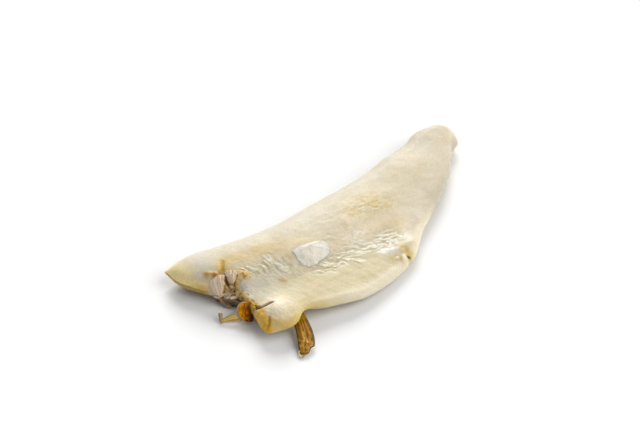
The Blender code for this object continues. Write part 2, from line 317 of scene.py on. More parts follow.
def wet_share(x, y):
    """1 in the wrinkled wet valley between loin and belly flap, and in its side patches."""
    wet = 0
    for place, reach, _, _, height in WRINKLES:
        wet = np.maximum(wet, np.minimum(1, 1.25 * swelling(x, y, place, reach, height / 1.5, PATCH_TURN)))
    return wet


def wrinkle(x, y):
    """Height of the wet wrinkles, and from 0 to 1 their sharpest crests, where a painted glint goes."""
    x, y = x + 2.6 * layers(x / 19, y / 19, 11, 2), y + 2.6 * layers(x / 19, y / 19, 14, 2)
    rise, glint = 0, 0
    for seed, (place, reach, turn, width, height) in enumerate(WRINKLES):
        along, across = along_view(x, y, turn)
        crests = 0.7 * ridged(along / (4 * width), across / (1.5 * width), 21 + seed)
        crests += 0.5 * ridged(along / (1.7 * width), across / (0.75 * width), 51 + seed)
        here = swelling(x, y, place, reach, 1, PATCH_TURN)
        rise += height * here * (crests - 0.55)
        glint = np.maximum(glint, np.minimum(1, 1.5 * here) * ease(0.72, 1.1, crests))
    return rise, glint


def folded(x, y, width):
    """1 on the wet folds, which wander and break up a little, and 0 away from them."""
    x, y = x + 1.1 * layers(x / 6, y / 6, 71), y + 1.1 * layers(x / 6, y / 6, 73)
    share = np.zeros(np.shape(x))
    for line in FOLDS:
        share = np.maximum(share, stroke(x, y, line, (0.7 * width, width, 0.8 * width), 24))
    return share


def relief(x, y, u, w):
    """Height of the flesh's folds, wrinkles, fibres and tears over its smooth form."""
    rise = 0.7 * layers(x / 46, y / 30, 3, 2) + 0.3 * layers(x / 13, y / 9, 7)
    folds = folded(x, y, 1.5) - 0.55 * folded(x, y, 3.6)
    rise += wrinkle(x, y)[0] + (0.7 + 0.4 * ease(-10, -60, x)) * folds
    membrane = ease(0.5, 0.62, w) * ease(0.65, 0.55, u)
    fibres, beside = along_view(x, y, FIBRES_RUN)
    strings = 0.05 * layers(fibres / 34, beside / 3, 31) + 0.2 * layers(fibres / 40, beside / 9, 35)
    rise += membrane * strings
    lobe, ragged = swelling(x, y, (-132, -38), (16, 14)), swelling(x, y, (-137, 1), (7, 13))
    rise += lobe * (0.35 * layers(fibres / 16, beside / 2.6, 32) + 0.5 * layers(x / 7, y / 7, 34))
    rise += ragged * 0.35 * flap_fibres(x, y)
    rise += stroke(x, y, SLIT_MOUTH, 3.2) * (2.4 * ridged(x / 3.2, y / 3.2, 39) - 1)
    rise += torn_share(u, w) * (1.5 * torn_streaks(u, w) + 1.3 * ridged(x / 2.8, y / 3.2, 43) - 1.4)
    rise += 2.4 * stroke(x, y, NECK_RIDGE, (2.2, 2.8, 3, 3, 2.4)) * (0.3 + ridged(x / 2.6, y / 2.6, 47))
    for height, line, width in STROKES:
        rise += height * stroke(x, y, line, width)
    for lump in LUMPS:
        rise += swelling(x, y, *lump)
    return rise


def fillet_sheets(u, w):
    """The fillet's upper and under sheet, and for both how high in the thickness they run, from 0 to 1."""
    at = plan(u, w)
    x, y = at[..., 0], at[..., 1]
    flap = ease(LOIN_ENDS, FLAP_STARTS + TAIL_SPREAD * ease(*TAILWARD, u), w)
    top = spline(LOIN_TOP, u) * (1 - flap) + spline(FLAP_TOP, u) * flap
    for form in TOP_FORMS:
        top += swelling(x, y, *form)

    under = spline(FLAP_UNDER, u) * ease(FLAP_LIFT_FROM, 1, w)
    under += swelling(x, y, *FIN_BED) * ease(FLAP_LIFT_FROM, LOBE_FROM, w)
    off_nose = ease(0, NOSE_WIDTH, w)
    under += NOSE_LIFT * ease(NOSE_LENGTH, 0, u) * (1 - off_nose)
    under += NECK_LIFT * ease(NECK_LENGTH, 0, u) * off_nose * ease(1, LOBE_FROM, w)
    under = np.maximum(under, 0)

    width = np.linalg.norm(spline(BACK_EDGE, u) - spline(BELLY_EDGE, u), axis=-1)
    risen = rounded(w * width, BACK_RIM) * rounded((1 - w) * width, spline(BELLY_RIM, u))
    risen = risen * rounded(u * SIDE_LENGTH, spline(HEAD_RIM, w)) * rounded((1 - u) * SIDE_LENGTH, TAIL_RIM)
    share = EDGE_BAND + (1 - EDGE_BAND) * risen
    edge = under + EDGE_HEIGHT * (top - under)
    upper = edge + (top - edge) * share + relief(x, y, u, w) * risen
    lower = edge - (edge - under) * share

    # The outline wanders a little, and is ragged at the torn neck.
    loose = (1 - risen) * (0.5 + 1.6 * torn_share(u, w))
    x = x + loose * (0.9 * layers(x / 15, y / 15, 61) + torn_share(u, w) * 2.2 * layers(x / 4, y / 4, 63))
    y = y + loose * (0.9 * layers(x / 15, y / 15, 67) + torn_share(u, w) * 1.5 * layers(x / 4, y / 4, 69))
    high = EDGE_HEIGHT + (1 - EDGE_HEIGHT) * risen
    low = EDGE_HEIGHT * (1 - risen)
    return np.stack([x, y, upper], -1), np.stack([x, y, lower], -1), high, low


# -------- colours on the sheets


def light(r, g, b):
    """A colour as a screen shows it in full light, 0 to 255, and above 255 where painted light brightens what
    lies in shade, as the share of light that the surface gives back."""
    c = np.array((r, g, b)) / 255
    return SHOWN * np.where(c <= 0.04045, c / 12.92, ((c + 0.055) / 1.055) ** 2.4)


def lay(tint, colour, share):
    """Colour laid over a tint, as thick as share."""
    share = np.clip(share, 0, 1)[..., None]
    return tint * (1 - share) + light(*colour) * share


def painted(sheet, base, coats):
    """A base colour all over a sheet, and coats laid on it in turn, each a colour and how thick it lies."""
    tint = np.broadcast_to(light(*base), (*sheet.shape, 3))
    for colour, share in coats:
        tint = lay(tint, colour, share)
    return tint


def flesh_tint(x, y, u, w, high):
    """Colour of the flesh: cream, laid over with patches by distance to places and lines."""
    cloud, fine = mottled(x / 18, y / 14, 101), mottled(x / 5, y / 5, 103)
    coats = loin_coats(x, y, u, w, cloud, fine) + flap_coats(x, y, u, w, high, fine)
    return painted(x, (236, 228, 208), coats + head_coats(x, y, u, w, high, cloud, fine))


def loin_coats(x, y, u, w, cloud, fine):
    """Warm band along the loin, the speckled golden patch with painted glints, the tail with painted shade
    along its belly side, and the valley beside the flap, lightened with painted light where it lies in shade.
    """
    band = stroke(x, y, WARM_LINE, (8, 10, 11, 11, 10, 8))
    speckle = ease(0.42, 0.72, fine + 0.25 * (cloud - 0.5))
    gold = np.maximum(swelling(x, y, (26, 17), (24, 13), 1, -10), swelling(x, y, (1, 12), (14, 7), 0.85, 8))
    gold = np.maximum(gold, swelling(x, y, (44, 9), (11, 9), 0.8))
    patch = np.maximum(swelling(x, y, (31, 15), (13, 8), 1, -38), swelling(x, y, (7, 17), (6, 5)))
    return (
        ((238, 233, 220), 0.7 * ease(0.24, 0.1, w) * cloud),
        ((229, 221, 204), 0.6 * ease(0.4, 0.9, u) * cloud),
        ((238, 217, 170), 0.9 * band * (0.5 + 0.5 * cloud) * ease(-30, -90, x + 20 * cloud)),
        ((252, 236, 202), 0.75 * gold),
        ((242, 220, 164), 0.8 * patch * (0.6 + 0.4 * cloud)),
        ((230, 200, 128), 0.7 * gold * speckle),
        # painted glints on the crests of the speckled golden patch
        ((266, 256, 226), 0.9 * gold * ease(0.7, 0.95, ridged(x / 3.4, y / 2.4, 105))),
        ((228, 208, 176), 0.6 * swelling(x, y, (154, 60), (14, 11)) * cloud),
        # painted shade, greyish, along the tail's belly side
        ((206, 198, 178), 0.9 * ease(0.62, 0.92, w) * ease(0.66, 0.8, u)),
        ((226, 218, 202), 0.6 * ease(0.6, 0.95, u)),
        ((232, 214, 178), 0.45 * swelling(x, y, (92, 36), (34, 16), 1, 25) * cloud),
        # painted light: a pale cream patch where the wet valley lies in shade
        ((254, 244, 224), 0.75 * np.minimum(1, 1.4 * swelling(x, y, (34, -12), (34, 14), 1, 20))),
        ((252, 240, 234), 0.6 * swelling(x, y, (-3, -2), (13, 7), 1, -30) * ease(0.2, 0.6, fine)),
        # painted light along the valley line, past full light, where the slope faces away from the key light
        ((274, 257, 228), 0.62 * stroke(x, y, VALLEY_LINE, (6, 7, 8, 8, 9, 9))),
    )


def shaken(x, y):
    """x and y moved a little to and fro, so that a line drawn on them has ragged sides."""
    return x + 1.6 * layers(x / 4, y / 4, 115), y + 1.6 * layers(x / 4, y / 4, 117)


def flap_coats(x, y, u, w, high, fine):
    """Belly membrane, its bluish white front, its wet folds with painted highlights on their crests and
    painted shade in the hollows beside them, a painted glare before the vent, its yellow edge, painted light
    on the belly edge and painted shade along the tail's belly edge, and the vent.
    """
    tx, ty = shaken(x, y)
    membrane = ease(0.5, 0.64, w) * ease(0.66, 0.5, u)
    fibres, beside = along_view(x, y, FIBRES_RUN)
    wet, ridge = wet_share(x, y), swelling(x, y, (8.5, -34), (9, 5), 1, -35)
    edge = ease(0.86, 0.97, w) * ease(0.42, 0.14, u)
    large, small = swelling(x, y, (12.3, -51.6), (2.4, 3.2), 1, -38), swelling(x, y, (7.5, -47.2), (1.5, 1.6))
    return (
        ((215, 205, 170), 0.8 * membrane),
        ((224, 221, 208), 0.75 * swelling(x, y, (-119, -6), (17, 14))),
        ((234, 226, 200), 0.3 * membrane * ease(0.4, 0.9, mottled(fibres / 26, beside / 4, 31))),
        ((236, 206, 186), 0.35 * swelling(x, y, (-82, -32), (9, 7))),
        ((200, 160, 70), 0.7 * stroke(x, y, GOLD_MARK, (1, 1.6, 1))),
        ((236, 228, 206), 0.6 * wet),
        ((222, 202, 156), 0.5 * wet * ease(0.5, 0.85, fine) * ease(0, -60, x)),
        ((216, 192, 136), 0.6 * swelling(x, y, (-82, 4), (5, 6)) * fine),
        # painted shade in the hollows beside the folds
        ((210, 198, 160), 0.55 * folded(x, y, 3.6) * ease(-10, -40, x)),
        # painted highlights on the crests of the wrinkles and folds
        ((255, 252, 242), 0.35 * wrinkle(x, y)[1] + 0.7 * folded(x, y, 1.6) * ease(0.15, 0.6, fine)),
        # painted glare on the lump in front of the vent
        ((255, 254, 250), np.minimum(1, 1.5 * ridge) * (0.6 + 0.4 * fine)),
        ((234, 212, 152), 0.6 * edge * ease(1.02, 0.6, high) + 0.25 * edge),
        # painted light on the belly edge, which faces away and lies in shade
        ((252, 246, 230), 0.8 * ease(0.9, 0.985, w) * ease(0.2, 0.34, u) * ease(0.8, 0.72, u)),
        # painted shade along the tail's belly edge
        ((206, 203, 192), 0.55 * ease(0.86, 0.98, w) * ease(0.74, 0.84, u)),
        # vent: pale patches set past full light as painted light where its hollow lies in shade, a golden
        # crease, pale beads before it, also set past full light as painted light, and a dark spot at its
        # outer end
        ((264, 258, 246), 0.5 * swelling(x, y, (26, -30), (9, 5), 1, -10)),
        ((262, 256, 246), 0.6 * swelling(x, y, (15, -40), (8, 4.5), 1, -30)),
        ((232, 216, 164), 0.7 * stroke(tx, ty, VENT_LINE, 4.5)),
        ((230, 202, 128), 0.7 * stroke(tx, ty, VENT_LINE, (2, 2.6, 3.2, 3)) * (0.5 + 0.5 * fine)),
        ((232, 206, 146), 0.5 * stroke(tx, ty, VENT_BEADS, 3.4)),
        ((262, 256, 232), 0.95 * np.maximum(large, small)),
        ((88, 66, 24), np.minimum(1, 1.4 * swelling(x, y, (17.4, -52), (2.3, 1.1), 1, -38))),
    )


def head_coats(x, y, u, w, high, cloud, fine):
    """The head end: lobe, nose, torn neck, and the slit behind the lobe. Colours past full light are painted
    light where the surfaces lie in shade, and the hollows among the torn flakes get painted shade.
    """
    tx, ty = shaken(x, y)
    grit = mottled(*strands(u, w, 2.4), 107)
    face = ease(0.05, 0.03, u + 0.012 * grit) * ease(0.8, 0.86, w)
    side = ease(0.08, 0, u) * ease(0.33, 0.25, w)
    torn, streaks = torn_share(u, w), torn_streaks(u, w)
    ragged = np.minimum(1, 1.3 * swelling(x, y, (-135, 1), (8.5, 13)))
    gilt = np.minimum(1, 1.4 * stroke(x, y, NECK_RIDGE, (3, 3.6, 4, 4, 3)))
    lip = ease(0.016, 0.004, u + 0.004 * (cloud - 0.5)) * ease(0.4, 0.5, w) * ease(0.84, 0.78, w)
    lip = np.maximum(lip, stroke(x, y, FLAP_HEAD, (2, 2.2, 2.6, 3, 3.4)))
    mouth = stroke(x, y, SLIT_MOUTH, (4, 4.4, 3.6))
    return (
        # lobe: pale on top, set past full light as painted light, amber on its cut face, with a golden lip
        # and a dark fold
        ((262, 252, 236), 0.85 * swelling(x, y, (-132, -36), (18, 15))),
        ((250, 214, 140), 0.95 * face),
        ((222, 168, 76), 0.8 * face * ease(0.35, 0.8, grit) * ease(0.83, 0.9, w)),
        ((244, 230, 196), 0.85 * face * ease(0.9, 0.8, w + 0.03 * grit)),
        ((226, 196, 130), 0.6 * stroke(x, y, LOBE_LIP, (3.2, 3, 2.8, 2.8, 2.6, 2.4))),
        ((160, 112, 36), 0.8 * stroke(x, y, LOBE_FOLD, (0.9, 1.1, 1.1))),
        # nose: greyish white above, golden on its side and lighter at its tip, both set past full light as
        # painted light where they face away, brown along its lowest line
        ((252, 246, 234), 0.8 * swelling(x, y, (-160, 54), (18, 16))),
        # painted light on the nose's golden side, which faces away
        ((272, 254, 200), 0.9 * side * ease(1, 0.88, high + 0.08 * (cloud - 0.5))),
        ((236, 202, 126), 0.7 * side * ease(0.1, 0.22, w) * ease(0.92, 0.7, high)),
        # painted light at the nose's tip, which faces away
        ((276, 262, 224), 0.8 * swelling(x, y, (-172, 66), (10, 9))),
        ((278, 264, 214), 0.7 * swelling(x, y, (-169, 50), (8, 10))),
        ((176, 146, 88), 0.8 * side * ease(0.56, 0.47, high)),
        # torn neck: pinkish streaked flakes with painted shade in the hollows between them and among the
        # fibres beside them, golden lips, the lower one set past full light as painted light, brown crevices,
        # and painted shade in the hollows of the slit's mouth
        ((246, 222, 194), 0.85 * torn),
        # painted shade in the hollows between the torn streaks
        ((206, 158, 100), 0.75 * torn * ease(0.6, 0.25, streaks)),
        ((196, 146, 56), 0.9 * torn * ease(0.66, 0.9, fine)),
        ((246, 230, 216), 0.85 * swelling(x, y, (-158, 22), (5, 6))),
        ((254, 250, 240), 0.85 * ragged),
        # painted shade in the hollows between the fibres
        ((222, 206, 164), 0.4 * ragged * ease(0.55, 0.3, flap_fibres(x, y))),
        ((246, 216, 154), 0.75 * gilt),
        ((190, 138, 66), 0.9 * gilt * ease(0.5, 0.78, mottled(x / 2.6, y / 2.6, 109))),
        # painted light on the golden lip, which lies in shade
        ((274, 246, 184), 0.92 * lip),
        ((236, 180, 86), 0.8 * lip * ease(0.5, 0.85, mottled(x / 2.6, y / 3.6, 113))),
        ((200, 148, 54), 0.9 * mouth),
        # painted shade in the hollows between the mouth's lumps
        ((84, 50, 14), 0.95 * mouth * ease(0.5, 0.2, ridged(x / 3.2, y / 3.2, 39))),
        ((236, 208, 142), 0.75 * stroke(tx, ty, NECK_GROOVE, 6)),
        ((204, 158, 60), 0.8 * stroke(tx, ty, NECK_GROOVE, (1.4, 1.8))),
        ((206, 160, 74), 0.85 * stroke(tx, ty, NOSE_LUMP, (3.2, 3, 2)) * (0.6 + 0.4 * fine)),
        ((160, 116, 70), 0.7 * stroke(tx, ty, NOSE_CREASE, 1.8)),
        ((244, 188, 122), 0.7 * swelling(x, y, (-145.5, 17), (4, 5))),
        ((190, 128, 68), 0.85 * stroke(x, y, CREVICE, (0.8, 1.1, 1.5, 1.6, 1.3))),
        ((190, 128, 68), 0.85 * stroke(x, y, SIDE_CREVICE, (0.8, 1.1, 1.2, 1.2))),
        ((186, 160, 108), 0.5 * stroke(x, y, SLIT, (4, 3.4, 3, 2.6, 2))),
        ((58, 44, 18), 0.97 * stroke(x, y, SLIT, (1.2, 1.3, 1.6, 1.8, 1.2))),
    )


def skin_tint(x, y, w):
    """Colour of the skin underneath: olive grey at the back, silvery cream at the belly, faintly mottled."""
    mottle = mottled(x / 7, y / 7, 121)
    return painted(x, (206, 190, 150), (
        ((128, 118, 92), 0.75 * ease(0.75, 0.1, w) * (0.5 + 0.5 * mottle)),
        ((92, 84, 66), 0.5 * ease(0.6, 0, w) * ease(0.55, 0.9, mottle)),
    ))


def make_mesh(name, sheets, tints, wets, material):
    """Closed solids between an upper and a lower sheet of rows by columns of points, one pair or a stack of
    pairs. Rows by columns turn counter-clockwise seen from outside the upper sheet. Walls join both."""
    rows, columns = sheets[0].shape[-3:-1]
    pieces = sheets[0][..., 0].size // (rows * columns)
    number = np.arange(rows * columns).reshape(rows, columns)
    a, b, c, d = number[:-1, :-1], number[:-1, 1:], number[1:, 1:], number[1:, :-1]
    quads = np.stack([a, b, c, d], -1).reshape(-1, 4)
    ring = np.concatenate([number[0, :-1], number[:-1, -1], number[-1, :0:-1], number[:0:-1, 0]])
    after = np.roll(ring, -1)
    under = pieces * rows * columns
    walls = np.stack([after, ring, ring + under, after + under], -1)
    one = np.concatenate([quads, quads[:, ::-1] + under, walls])
    faces = (one[None] + (np.arange(pieces) * rows * columns)[:, None, None]).reshape(-1, 4)
    points = np.reshape(sheets, (-1, 3)) * MM

    mesh = bpy.data.meshes.new(name)
    mesh.vertices.add(len(points))
    mesh.vertices.foreach_set("co", points.ravel())
    mesh.loops.add(faces.size)
    mesh.loops.foreach_set("vertex_index", faces.ravel())
    mesh.polygons.add(len(faces))
    mesh.polygons.foreach_set("loop_start", np.arange(len(faces)) * 4)
    mesh.polygons.foreach_set("use_smooth", np.ones(len(faces), bool))
    mesh.update(calc_edges=True)

    tint = np.reshape(tints, (-1, 3))
    layer = mesh.attributes.new("tint", "FLOAT_COLOR", "POINT")
    layer.data.foreach_set("color", np.c_[tint, np.ones(len(tint))].ravel())
    wet = np.concatenate([np.broadcast_to(v, sheets[0].shape[:-1]).ravel() for v in wets])
    layer = mesh.attributes.new("wet", "FLOAT", "POINT")
    layer.data.foreach_set("value", wet)
    row, column = np.meshgrid(np.linspace(0, 1, rows), np.linspace(0, 1, columns), indexing="ij")
    flat = np.tile(np.stack([row, column], -1).reshape(-1, 2), (2 * pieces, 1))
    mesh.uv_layers.new(name="UVMap").uv.foreach_set("vector", flat[faces.ravel()].ravel())
    mesh.materials.append(material)
    piece = bpy.data.objects.new(name, mesh)
    bpy.context.scene.collection.objects.link(piece)
    return piece


# -------- materials


class Finish:
    """A Principled material and short ways to add nodes to it."""

    def __init__(self, name, **sockets):
        self.material = bpy.data.materials.new(name)
        self.material.use_nodes = True
        self.tree = self.material.node_tree
        self.shader = self.tree.nodes["Principled BSDF"]
        for socket, value in sockets.items():
            self.shader.inputs[socket.replace("_", " ")].default_value = value
        self.place = self.add("ShaderNodeTexCoord", "Object")

    def add(self, kind, output, links=(), **values):
        node = self.tree.nodes.new(kind)
        for name, value in values.items():
            setattr(node, name, value)
        for socket, source in dict(links).items():
            if isinstance(source, bpy.types.NodeSocket):
                self.tree.links.new(source, node.inputs[socket])
            else:
                node.inputs[socket].default_value = source
        return node.outputs[output]

    def attribute(self, name, socket="Color"):
        return self.add("ShaderNodeAttribute", socket, attribute_name=name)

    def noise(self, scale, detail, stretch=(1, 1, 1), turn=0, roughness=0.55):
        """Noise, scale cells to the metre, drawn out by stretch after a turn about Z."""
        links = {"Vector": self.place, "Rotation": (0, 0, np.radians(turn)), "Scale": stretch}
        place = self.add("ShaderNodeMapping", 0, links)
        links = {"Vector": place, "Scale": scale, "Detail": detail, "Roughness": roughness}
        return self.add("ShaderNodeTexNoise", "Fac", links)

    def spread(self, source, low, high, start, end):
        """Values from low to high spread to start and end, and held there."""
        links = {"Value": source, "From Min": low, "From Max": high, "To Min": start, "To Max": end}
        return self.add("ShaderNodeMapRange", "Result", links, interpolation_type="SMOOTHSTEP")

    def maths(self, operation, a, b):
        return self.add("ShaderNodeMath", 0, {0: a, 1: b}, operation=operation)

    def mix(self, share, a, b, blend="MIX"):
        """Two colours mixed by share: sockets 6 and 7 take them, and 2 gives the mix."""
        links = {0: share, 6: a, 7: b if isinstance(b, bpy.types.NodeSocket) else (*b, 1)}
        return self.add("ShaderNodeMix", 2, links, data_type="RGBA", blend_type=blend)

    def bump(self, height, distance, strength, onto=None):
        """Relief of a height in millimetres."""
        links = {"Height": height, "Distance": distance * MM, "Strength": strength}
        if onto is not None:
            links["Normal"] = onto
        return self.add("ShaderNodeBump", "Normal", links)

    def join(self, **sources):
        for socket, source in sources.items():
            self.tree.links.new(source, self.shader.inputs[socket.replace("_", " ")])
        return self.material


def wet_flesh(name, roughness=(0.58, 0.2), scatter=0.85, depth=12):
    """Translucent flesh: the sheet's tint, mottled and speckled, glossier and more wrinkled where wet."""
    f = Finish(name, Subsurface_Weight=scatter, Subsurface_Scale=depth * MM, IOR=1.38)
    f.shader.inputs["Subsurface Radius"].default_value = (1.0, 0.85, 0.6)
    wet = f.attribute("wet", "Fac")
    soft = f.noise(220, 4)
    fine = f.noise(900, 3)
    fibre = f.noise(700, 3, stretch=(0.22, 1, 1), turn=24)
    tint = f.mix(f.spread(soft, 0.35, 0.7, 0, 0.35), f.attribute("tint"), light(236, 214, 170))
    tint = f.mix(0.5, f.attribute("tint"), tint)
    tint = f.mix(1, tint, f.spread(fine, 0.3, 0.75, 0.9, 1.06), "MULTIPLY")
    tint = f.add("ShaderNodeHueSaturation", 0, {"Saturation": FLESH_RICHER, "Color": tint})
    ripple = f.noise(420, 4, stretch=(0.4, 1, 1), turn=38, roughness=0.6)
    normal = f.bump(fibre, 0.35, 0.5)
    normal = f.bump(ripple, 1.2, f.spread(wet, 0.1, 0.9, 0.06, 0.75), normal)
    normal = f.bump(fine, 0.25, 0.35, normal)
    rough = f.spread(wet, 0, 0.8, *roughness)
    rough = f.maths("ADD", rough, f.spread(soft, 0.3, 0.7, -0.06, 0.08))
    return f.join(Base_Color=tint, Roughness=rough, Normal=normal)


def wet_skin(name, ray_scale, scatter=0.15, roughness=0.48, stain=0.4):
    """Fin, cartilage and loose skin: the sheet's own tint with long dark streaks and a wet sheen."""
    f = Finish(name, Subsurface_Weight=scatter, Subsurface_Scale=2 * MM, IOR=1.38)
    fine = f.noise(1100, 4)
    blotch = f.noise(260, 3)
    tint = f.mix(f.spread(blotch, 0.4, 0.75, 0, stain), f.attribute("tint"), light(96, 56, 14))
    tint = f.mix(1, tint, f.spread(fine, 0.25, 0.8, 0.75, 1.2), "MULTIPLY")
    tint = f.add("ShaderNodeHueSaturation", 0, {"Saturation": SKIN_RICHER, "Color": tint})
    normal = f.bump(fine, 0.4, 0.6)
    normal = f.bump(f.noise(ray_scale, 2), 0.8, 0.5, normal)
    rough = f.spread(blotch, 0.3, 0.7, roughness - 0.08, roughness + 0.12)
    return f.join(Base_Color=tint, Roughness=rough, Normal=normal)


# -------- pieces


def make_fillet():
    """The whole side of cod, from the two sheets of fillet_sheets."""
    u = spread(ALONG, END_SHARE, END_SHARE, 0.5)
    w = spread(ACROSS, BACK_SHARE, BELLY_SHARE, 0)
    w, u = np.meshgrid(w, u)
    upper, lower, high, low = fillet_sheets(u, w)
    x, y = upper[..., 0], upper[..., 1]
    on_top = flesh_tint(x, y, u, w, high)
    beneath = flesh_tint(x, y, u, w, low)
    skin = ease(0.2, 0.1, low + 0.05 * layers(x / 6, y / 6, 131))[..., None]
    beneath = beneath * (1 - skin) + skin_tint(x, y, w) * skin
    line = hump(low, 0.19, 0.05) * ease(0.45, 0.25, w) * ease(0.16, 0.08, u)
    beneath = lay(beneath, (96, 84, 56), 0.8 * line)
    wet = np.clip(0.12 + wet_share(x, y) + folded(x, y, 2.4) + 0.6 * torn_share(u, w), 0, 1)
    flesh = wet_flesh("wet cod flesh")
    return make_mesh("fillet_flesh", (upper, lower), (on_top, beneath), (wet, 0.3), flesh)


def where(x, y):
    """The u and w whose place in the outline is x, y: Newton's steps on plan from a straight guess."""
    u, w, nudge = (x + 160) / 330, np.full(np.shape(x), 0.5), 0.001
    for _ in range(12):
        at = plan(u, w)
        du, dw = (plan(u + nudge, w) - at) / nudge, (plan(u, w + nudge) - at) / nudge
        ex, ey = x - at[..., 0], y - at[..., 1]
        area = du[..., 0] * dw[..., 1] - du[..., 1] * dw[..., 0]
        u = np.clip(u + (ex * dw[..., 1] - ey * dw[..., 0]) / area, nudge, 1 - nudge)
        w = np.clip(w + (ey * du[..., 0] - ex * du[..., 1]) / area, nudge, 1 - nudge)
    return u, w


def disc(spans):
    """A square grid pulled into a disc, and into blunt corners: its x, its y and how far in from the rim."""
    side = np.sin(np.linspace(-1, 1, spans + 1) * np.pi / 2)
    y, x = np.meshgrid(side, side, indexing="ij")
    round_x, round_y = x * np.sqrt(1 - y**2 / 2), y * np.sqrt(1 - x**2 / 2)
    return 0.55 * x + 0.45 * round_x, 0.55 * y + 0.45 * round_y, 1 - np.hypot(round_x, round_y)


FLAKE_CORNERS = ((-79, 9.5), (-40, 3), (-44.4, -9.4), (-73.5, -13))
FLAKE_RISE = 1.7


def make_flake():
    """A slab on the flesh: a grid between four corners, laid on the fillet, with a rounded rim."""
    x, y, inward = disc(90)
    a, b, c, d = (np.array(corner, float) for corner in FLAKE_CORNERS)
    p, q = ((v + 1)[..., None] / 2 for v in (x, y))
    at = (1 - q) * ((1 - p) * d + p * c) + q * ((1 - p) * a + p * b)
    x, y = at[..., 0], at[..., 1]
    ragged = 1.1 * ease(0.5, 0, inward)
    x, y = x + 1.2 * ragged * layers(x / 11, y / 11, 141), y + ragged * layers(x / 11, y / 11, 143)
    bed = fillet_sheets(*where(x, y))[0][..., 2]
    flat = bed.mean() + 0.93 * (bed - bed.mean())
    lump = 0.5 * layers(x / 9, y / 7, 145) + 0.1 * layers(x / 2.5, y / 2, 147)
    step = 0.8 * ease(-1, 1, (y - 3) / 1.5 + 0.4 * layers(x / 6, y / 6, 149))
    rise = 0.4 * rounded(np.clip(inward, 0, 1), 0.6) + 0.6 * ease(0, 0.6, inward)
    upper = np.stack([x, y, bed + 0.3 + (flat - bed + FLAKE_RISE + lump + step) * rise], -1)
    lower = np.stack([x, y, np.minimum(bed - 0.4, upper[..., 2] - 0.6)], -1)
    # painted light: the flake's colour is set past full light, and lighter still at the rim, where the rim
    # lies in shade
    tint = painted(x, (266, 260, 248), (
        ((246, 238, 224), 0.5 * ease(0.3, 0.9, mottled(x / 6, y / 5, 151))),
        ((255, 250, 238), 0.7 * ease(0.2, 0, inward)),
    ))
    flesh = wet_flesh("pale flake flesh", (0.55, 0.4), 0.6, 3)
    return make_mesh("loose_flake_flesh", (upper, lower), (tint, tint), (0.2, 0.2), flesh)


def unit(v):
    return v / np.linalg.norm(v, axis=-1, keepdims=True)


def ribbon(spine, side, widths, thick, spans, ends=(0.12, 0.12), cup=0):
    """A flat piece. Its middle follows a spine, its width lies along side and its face looks to side x ahead.
    The half thickness is an oval across, rounded at both ends; cup bends its edges up."""
    s, t = np.meshgrid(np.linspace(0, 1, spans[0] + 1), np.linspace(-1, 1, spans[1] + 1), indexing="ij")
    s, t = 0.5 - 0.5 * np.cos(np.pi * s), np.sin(t * np.pi / 2)
    ahead, side = spline(spine, s + 0.01) - spline(spine, s - 0.01), unit(np.array(side, float))
    face = unit(np.cross(side, ahead))
    root, tip = rounded(s, ends[0]), rounded(1 - s, ends[1])
    half_width = spline(widths, s) / 2 * (0.25 + 0.75 * root) * (0.25 + 0.75 * tip)
    middle = spline(spine, s) + side * (t * half_width)[..., None] + face * (cup * t**2)[..., None]
    oval = np.sqrt(1 - t**2) * root * tip
    half = np.interp(s, np.linspace(0, 1, len(thick)), thick) / 2 * (0.12 + 0.88 * oval)
    return s, t, middle, face, half


def sheets_of(middle, face, half, rise):
    """The sheet in front of a ribbon's middle, raised where the ribbon is thick, and the sheet behind."""
    full = half / half.max()
    return middle + face * (half + rise * full)[..., None], middle - face * half[..., None]


def make_piece(name, sheets, material):
    upper, lower, tint = sheets
    return make_mesh(name, (upper, lower), (tint, tint), (0.5, 0.5), material)


# Ribbons: spine from root to tip, side, widths, thicknesses, spans, and how much of each end is rounded.
FIN_SIDE, FIN_STEP = (-0.79, 0.62, 0), 3.2
FIN = (
    ((-111.5, -44, 9.5), (-116, -57.5, 9), (-120.6, -68.8, 7.5), (-126.4, -78.8, 5), (-133.6, -87.6, 2.2)),
    FIN_SIDE, (14, 14.5, 15.5, 15.5, 12), (2.6, 3, 3.2, 2.8, 1.6), (90, 44), (0.02, 0.07),
)
FRILL = (
    ((-134.5, -80, 2.6), (-138, -82.5, 2.8), (-138.5, -86, 1.8), (-136, -88, 1.2)),
    (0.6, 0.8, 0.2), (2.2, 3.4, 3, 1.6), (0.8, 1, 0.8), (90, 44),
)
COLLAR = (
    ((-146.4, -11.2, 18), (-149, -13.6, 13.2), (-150.2, -17.2, 7.8), (-149.4, -21, 2.6)),
    (0.7, -0.72, 0), (7, 14, 15.5, 9), (2.2, 2.6, 2.6, 2), (64, 56), (0.1, 0.12),
)
LEAF = (
    ((-155.5, -14, 5.8), (-160, -11.5, 5.2), (-165, -8, 3.6), (-170, -5.5, 2)),
    (0.3, -0.5, -0.6), (10, 9, 5.5, 2.2), (1.4, 1.4, 1.2, 1), (64, 56), (0.03, 0.04),
)
STUB = (
    ((-168.6, -4.4, 1.4), (-167.6, -2.6, 5.4), (-166.4, -0.8, 9.6)),
    (0.79, -0.62, 0), (3.4, 4.2, 4.4), (2.6, 2.4, 2.2), (64, 56), (0.08, 0.1),
)
PETAL_SPANS, PETAL_ENDS = (44, 36), (0.06, 0.1)


